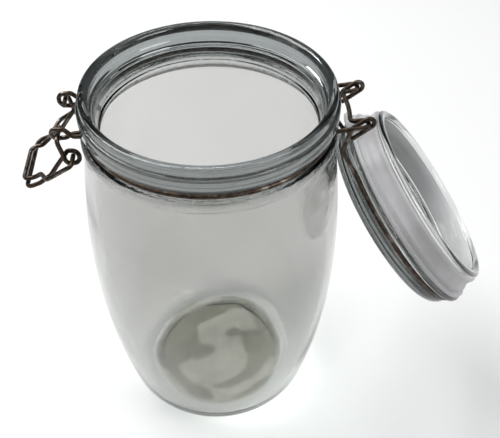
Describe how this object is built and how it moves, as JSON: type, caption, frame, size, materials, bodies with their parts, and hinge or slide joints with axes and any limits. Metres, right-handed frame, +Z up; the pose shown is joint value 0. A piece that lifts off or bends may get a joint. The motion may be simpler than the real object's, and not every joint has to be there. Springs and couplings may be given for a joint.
{
  "type": "lidded glass canister",
  "caption": "Clip-top storage canister: a barrel-sided glass jar with a hinged glass lid, a rubber seal and a wire latch, shown with the lid swung open.",
  "frame": {"origin": "centre of the jar's base, on the plane it stands on", "axes": "+Z up the jar, +X towards the lid hinge, -X towards the latch, +Y across"},
  "size_m": [0.1969, 0.1102, 0.171],
  "materials": {
    "clear_glass": "clear pressed glass with a faint grey-green tint",
    "lid_glass": "clear pressed glass, smooth",
    "seal_rubber": "translucent frosted white rubber",
    "dark_wire": "dark, lightly oxidised steel wire with pale highlights"
  },
  "bodies": {
    "jar_body": {"jar": "clear_glass", "neck_wire": "dark_wire"},
    "lid_body": {"lid": "lid_glass", "gasket": "seal_rubber", "lid_wire": "dark_wire"},
    "lever_body": {"lever": "dark_wire"},
    "clasp_body": {"clasp": "dark_wire"}
  },
  "joints": [
    {"name": "lid_hinge", "type": "hinge", "parent": "jar_body", "child": "lid_body", "pos_m": [0.0602, 0, 0.1599], "axis": [0, 1, 0], "range_deg": [-231.9, 0]},
    {"name": "lever_pivot", "type": "hinge", "parent": "jar_body", "child": "lever_body", "pos_m": [-0.057, 0, 0.159], "axis": [0, 1, 0], "range_deg": [0, 150]},
    {"name": "clasp_pivot", "type": "hinge", "parent": "lever_body", "child": "clasp_body", "pos_m": [-0.0524, 0, 0.1507], "axis": [0, 1, 0], "range_deg": [0, 129]}
  ]
}
